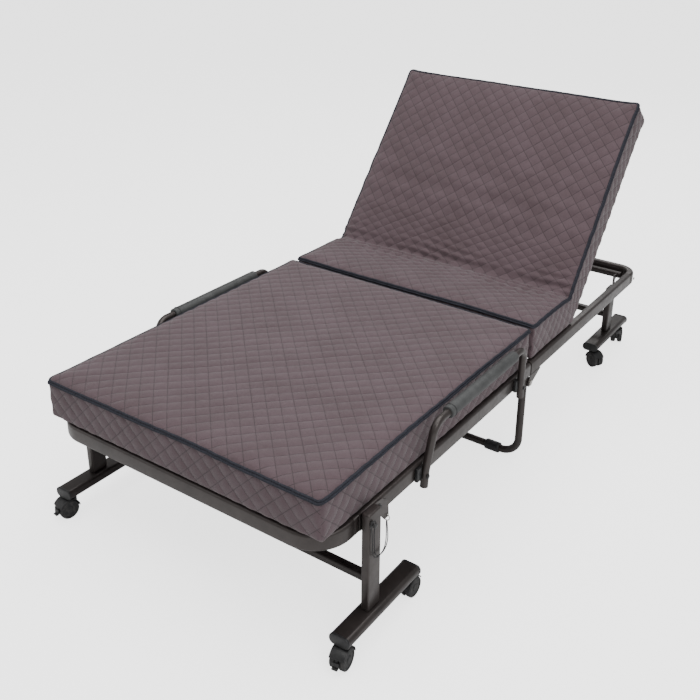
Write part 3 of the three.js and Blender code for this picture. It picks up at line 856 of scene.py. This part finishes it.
def addLeg(end, side, word):
    x, y, body = side * legs[end + "X"], legs[end + "Y"], end + "_legs"
    post = {"width": legs["postThickness"], "height": legs["postWidth"], "corner": 4.5}
    bottom = legs["baseTop"] + 0.3
    rise = ("run", (0, 0, legs[end + "Top"] - bottom))
    tube = drawTube("post", post, at(x, y, bottom), (0, 0, 1), [rise], 3.5)
    finish, slot = (framePaint, "paint") if end == "foot" else (basePaint, "dark_paint")
    finishPiece(tube, finish, body, [f"{end}_leg_post_{word}"])
    tube.name = f"{end}_post_{word}"
    start, length = legs[end + "BaseStart"], legs["baseLength"]
    middle = (legs["baseTop"] + legs["baseBottom"]) / 2
    height = legs["baseTop"] - legs["baseBottom"]
    oval = {"width": legs["baseWidth"], "height": height, "corner": 11, "steps": 7}
    base = drawTube("base", oval, at(x, start, middle), (0, 1, 0), [("run", (0, length, 0))], 0.6)
    finishPiece(base, basePaint, body, [f"{end}_leg_base_{word}"])
    base.name = f"{end}_base_{word}"
    capShape = dict(oval, width=legs["baseWidth"] + 1.4, height=height + 1.4, corner=11.7)
    for place, way in ((start + 4, -1), (start + length - 4, 1)):
        push = ("run", (0, way * (4 + legs["cap"]), 0))
        cap = drawTube("cap", capShape, at(x, place, middle), (0, way, 0), [push], 1.6)
        finishPiece(cap, blackPlastic, body)
        cap.name = f"{end}_base_cap_{word}_{'near' if way < 0 else 'far'}"


def addCrossbars():
    bar = {"width": 24, "height": 20, "corner": 6, "sideways": (0, 1, 0)}
    for end, y, z in (("foot", 173, 122), ("head", legs["headY"], 140)):
        reach = legs[end + "X"] - legs["postThickness"] / 2 - 0.5
        tube = drawTube(f"{end}_crossbar", bar, at(-reach, y, z), (1, 0, 0), [("run", (2 * reach, 0, 0))])
        finishPiece(tube, basePaint, f"{end}_legs", [f"{end}_leg_crossbar"])


boltLook = {"head": 6.5, "height": 4, "washer": 8.5}


def addBolt(name, body, x, y, z, side, size=1.0):
    # a hexagon head on its washer, its axis along x
    washer = roundBar("washer", boltLook["washer"] * size, (x, y, z), (x + side * 1.2, y, z), 24, 0.3)
    head = roundBar("head", boltLook["head"] * size, (x + side * 1.1, y, z),
                    (x + side * boltLook["height"] * size, y, z), 6, 0.0)
    bolt = joinPieces(name, [washer, head])
    finishPiece(bolt, blackPlastic, body, smooth=30)


def addBolts():
    for side, word in ((-1, "left"), (1, "right")):
        addBolt(f"bracket_bolt_{word}", "foot_legs", side * 413.6, 190, 299, side)
        addBolt(f"head_pivot_bolt_{word}", "head_frame", side * 408.1, 1700, 288, side, 0.55)


for legEnd in ("foot", "head"):
    for legSide, legWord in ((-1, "left"), (1, "right")):
        addLeg(legEnd, legSide, legWord)
addCrossbars()
addBolts()
print("legs made")


centreLeg = {"x": 388.5, "y": 925, "top": 261.5, "barZ": 15, "radius": 10.5, "bend": 52,
             "padX": 312, "pad": 15, "padHalf": 22}


def addCentreLeg():
    x, y, z, turn = centreLeg["x"], centreLeg["y"], centreLeg["barZ"], centreLeg["bend"]
    drop = centreLeg["top"] - z - turn
    section = {"radius": centreLeg["radius"], "sides": 24, "sideways": (1, 0, 0)}
    tube = drawTube("centre_leg_tube", section, at(-x, y, centreLeg["top"]), (0, 0, -1), [
        ("run", (0, 0, -drop)), ("bend", at(-x + turn, y, z + turn), (0, -1, 0), 90, 12),
        ("run", (2 * (x - turn), 0, 0)), ("bend", at(x - turn, y, z + turn), (0, -1, 0), 90, 12),
        ("run", (0, 0, drop))], 1.2)
    finishPiece(tube, basePaint, "centre_leg", ["centre_leg"])
    for side, word in ((-1, "left"), (1, "right")):
        middle = side * centreLeg["padX"]
        ends = (middle - centreLeg["padHalf"], y, z), (middle + centreLeg["padHalf"], y, z)
        pad = roundBar(f"floor_pad_{word}", centreLeg["pad"], *ends, 28, 3.0)
        finishPiece(pad, blackPlastic, "centre_leg", [f"centre_leg_pad_{word}"])


addCentreLeg()
print("centre leg made")


handRail = {"middleY": 603, "footX": 418.5, "topX": 428, "top": 409, "radius": 9.5, "bend": 34,
            "grip": 15, "gripHalf": 163}


def roundedRoute(corners, radius, steps=8):
    # straight runs whose corners are bent to a radius
    route = [corners[0]]
    for before, corner, after in zip(corners, corners[1:], corners[2:]):
        inward = (before - corner).normalized()
        outward = (after - corner).normalized()
        half = inward.angle(outward) / 2
        start = corner + inward * radius / math.tan(half)
        centre = corner + (inward + outward).normalized() * radius / math.sin(half)
        axis = outward.cross(inward).normalized()
        for step in range(steps + 1):
            turn = Matrix.Rotation((math.pi - 2 * half) * step / steps, 3, axis)
            route.append(centre + turn @ (start - centre))
    route.append(corners[-1])
    return route


def addHandRail(side, word):
    footX, topX = side * handRail["footX"], side * handRail["topX"]
    top, middle = handRail["top"], handRail["middleY"]
    corners = [at(footX, middle - 240, 252), at(footX, middle - 236, 292), at(topX, middle - 218, top),
               at(topX, middle + 218, top), at(footX, middle + 236, 292), at(footX, middle + 240, 252)]
    route = roundedRoute(corners, handRail["bend"] * mm)
    tube = tubeAlong(f"hand_rail_{word}", route, handRail["radius"] * mm, sides=6)
    finishPiece(tube, framePaint, "foot_frame", [f"handrail_{word}"], smooth=40)
    reach = handRail["gripHalf"]
    ends = (topX, middle - reach, top), (topX, middle + reach, top)
    grip = roundBar(f"grip_sleeve_{word}", handRail["grip"], *ends, 32, 3.0)
    finishPiece(grip, gripFoam, "foot_frame", [f"handrail_grip_{word}"])
    deselectAll()
    bpy.ops.mesh.primitive_torus_add(major_segments=32, minor_segments=8, major_radius=15.2 * mm,
                                     minor_radius=1.1 * mm, location=at(topX, middle - reach + 14, top),
                                     rotation=(math.radians(90), 0, 0))
    ring = bpy.context.object
    ring.name = f"grip_binding_{word}"
    finishPiece(ring, elasticCord, "foot_frame")
    for spot, place in (("near", middle - 240), ("far", middle + 240)):
        low, high = place - 26, place - 7
        inner, outer = sorted((side * 408.4, side * 417))
        spacer = roundedBox(f"rail_spacer_{word}_{spot}", at(inner, low, 274), at(outer, high, 308), 2.0)
        finishPiece(spacer, blackPlastic, "foot_frame")
        addBolt(f"hand_rail_bolt_{word}_{spot}", "foot_frame", side * 427.4, place, 282, side, 0.75)


for railSide, railWord in ((-1, "left"), (1, "right")):
    addHandRail(railSide, railWord)
print("hand rails made")


caster = {"trail": 18, "wheel": 25, "inner": 4.0, "outer": 18.0, "hoodInner": 26.4, "hoodOuter": 28.6,
          "hoodHalf": 18.2, "web": 3.0, "stem": 9, "baseBottom": 58}


def casterAt(x, y, z):
    return Vector((x * mm, y * mm, z * mm))


def barAcross(name, radius, x0, x1, y, z, sides, rim=0.0):
    section = {"radius": radius, "sides": sides, "sideways": (0, 1, 0)}
    return drawTube(name, section, casterAt(x0, y, z), (1, 0, 0), [("run", (x1 - x0, 0, 0))], rim)


def makeWheel(side):
    # a solid wheel with a rounded tread, a dished face and a raised hub
    x0, x1 = side * caster["inner"], side * caster["outer"]
    low, high = min(x0, x1), max(x0, x1)
    wheel = barAcross("wheel", caster["wheel"], low, high, -caster["trail"], caster["wheel"], 48, 3.0)
    selectFaces(wheel, lambda polygon: polygon.normal.x * side > 0.99 and polygon.area > 0.0008)
    bpy.ops.mesh.inset(thickness=2.5 * mm, depth=0)
    bpy.ops.mesh.inset(thickness=1.2 * mm, depth=-1.4 * mm)
    bpy.ops.mesh.inset(thickness=8.5 * mm, depth=0.4 * mm)
    bpy.ops.mesh.inset(thickness=1.0 * mm, depth=1.6 * mm)
    bpy.ops.mesh.inset(thickness=4.0 * mm, depth=0.5 * mm)
    leaveEditMode()
    return wheel


def makeHood():
    # a mudguard over both wheels, a web between them and a round boss that turns under the base
    trail, middle = caster["trail"], (caster["hoodInner"] + caster["hoodOuter"]) / 2
    start = math.radians(4)
    place = casterAt(0, -trail + middle * math.cos(start), caster["wheel"] + middle * math.sin(start))
    thickness = caster["hoodOuter"] - caster["hoodInner"]
    section = {"width": 2 * caster["hoodHalf"], "height": thickness, "corner": 1.0, "steps": 3}
    facing = (0, -math.sin(start), math.cos(start))
    guard = drawTube("guard", section, place, facing,
                     [("bend", casterAt(0, -trail, caster["wheel"]), (1, 0, 0), 148, 26)], 0.6)
    half = caster["web"]
    web = barAcross("web", caster["hoodInner"] + 0.3, -half, half, -trail, caster["wheel"], 48)
    bpy.ops.object.mode_set(mode="EDIT")
    bpy.ops.mesh.select_all(action="SELECT")
    bpy.ops.mesh.bisect(plane_co=casterAt(0, -trail, 14), plane_no=(0, 0.25, 1), use_fill=True,
                        clear_inner=True)
    bpy.ops.object.mode_set(mode="OBJECT")
    boss = drawTube("boss", {"radius": caster["stem"] + 1.5, "sides": 32}, casterAt(0, 0, 38), (0, 0, 1),
                    [("run", (0, 0, 17))], 1.5)
    flange = drawTube("flange", {"radius": 13, "sides": 32}, casterAt(0, 0, 54.5), (0, 0, 1),
                      [("run", (0, 0, 3.1))], 1.0)
    return joinPieces("hood", [guard, web, boss, flange])


def makePedal():
    # a lever that hangs from the lower edge of the hood, with a lip for the toe
    trail, middle = caster["trail"], caster["hoodOuter"] - 0.4
    start = math.radians(163)
    place = casterAt(0, -trail + middle * math.cos(start), caster["wheel"] + middle * math.sin(start))
    section = {"width": 16, "height": 3.2, "corner": 1.2, "steps": 3}
    plate = drawTube("pedal", section, place, (0, -math.sin(start), math.cos(start)),
                     [("bend", casterAt(0, -trail, caster["wheel"]), (1, 0, 0), 23, 6)], 0.6)
    lip = roundedBox("step", casterAt(-7, -trail - 34.4, 18.2), casterAt(7, -trail - 26.8, 22.6), 1.4)
    return joinPieces("pedal", [plate, lip])


def placeCopy(master, kind, label, stem, turn, finish, body, replaced):
    name = f"{kind}_{label}"
    piece = master.copy()
    piece.data = master.data.copy()
    piece.name = name
    piece.data.name = name
    bpy.context.scene.collection.objects.link(piece)
    piece.matrix_world = Matrix.Translation(stem) @ Matrix.Rotation(turn, 4, "Z")
    finishPiece(piece, finish, f"{body}_{label}", [f"{replaced}_{label}"])


def addCasters():
    wheels = joinPieces("wheels", [makeWheel(-1), makeWheel(1)])
    hood, pedal = makeHood(), makePedal()
    for name, joint in joints.items():
        if not name.startswith("swivel_"):
            continue
        label = name[len("swivel_"):]
        axle = joints["roll_" + label]["axis"]
        turn = math.atan2(axle[1], axle[0])
        stem = Vector((joint["pos_m"][0], joint["pos_m"][1], 0))
        placeCopy(hood, "hood", label, stem, turn, blackPlastic, "caster", "caster_hood")
        placeCopy(wheels, "wheels", label, stem, turn, casterTread, "wheels", "caster_wheels")
        if "brake_" + label in joints:
            placeCopy(pedal, "pedal", label, stem, turn, blackPlastic, "brake", "brake_pedal")
    for master in (wheels, hood, pedal):
        bpy.data.objects.remove(master)


addCasters()
print("casters made")


studio = {"floor": 0.9, "floorGlow": 2.2, "sky": 0.42, "backdrop": 3.2,
          "lamps": (("overhead", (0.3, -0.4, 3.6), (0, 0, 0.2), 3.6, 105),
                    ("keyLight", (3.0, -1.8, 2.6), (0, 0.1, 0.3), 1.2, 34),
                    ("fillLight", (-2.8, -2.4, 1.9), (0, 0.1, 0.4), 2.4, 12),
                    ("backLight", (-0.8, 3.4, 2.6), (0, 0.4, 0.5), 2.0, 20))}


def addStage():
    deselectAll()
    bpy.ops.mesh.primitive_plane_add(size=60, location=(0, 0, 0))
    floor = bpy.context.object
    floor.name = "floor"
    level = studio["floor"]
    material, tree, shader = startMaterial("paleFloor", (level, level, level), 0.9)
    factor = remap(tree, noise(tree, objectPlace(tree), 0.6), 0.3, 0.7, 0, 1)
    darker = level - 0.015
    tree.links.new(mixColours(tree, factor, (level, level, level), (darker, darker, darker)),
                   shader.inputs["Base Color"])
    sight = tree.nodes.new("ShaderNodeLightPath")
    tree.links.new(arithmetic(tree, "MULTIPLY", sight.outputs["Is Camera Ray"], studio["floorGlow"]),
                   shader.inputs["Emission Strength"])
    shader.inputs["Emission Color"].default_value = (1, 1, 1, 1)
    floor.data.materials.append(material)
    world = bpy.data.worlds.new("studio")
    world.use_nodes = True
    background = world.node_tree.nodes["Background"]
    background.inputs["Color"].default_value = (1, 1, 1, 1)
    sight = world.node_tree.nodes.new("ShaderNodeLightPath")
    cameraRay = sight.outputs["Is Camera Ray"]
    seen = remap(world.node_tree, cameraRay, 0, 1, studio["sky"], studio["backdrop"])
    world.node_tree.links.new(seen, background.inputs["Strength"])
    bpy.context.scene.world = world
    for name, place, aim, size, power in studio["lamps"]:
        light = bpy.data.lights.new(name, "AREA")
        light.energy = power
        light.size = size
        lamp = bpy.data.objects.new(name, light)
        bpy.context.scene.collection.objects.link(lamp)
        lamp.location = place
        lamp.rotation_euler = (Vector(aim) - Vector(place)).to_track_quat("-Z", "Y").to_euler()


addStage()
print("stage set")


finishBySlot = {"paint": framePaint, "dark_paint": basePaint, "black_plastic": blackPlastic,
                "cover": quiltedCover, "sleeve": gripFoam, "steel": zincSteel, "cord": elasticCord}


def finishKeptNodes():
    slots = {part["node"]: part["material_slot"] for part in frame["record"]["subparts"]}
    for name, node in nodes.items():
        node.data.materials.clear()
        node.data.materials.append(blackPlastic if name == "lock_pin" else finishBySlot[slots[name]])


finishKeptNodes()
print("finishes set")
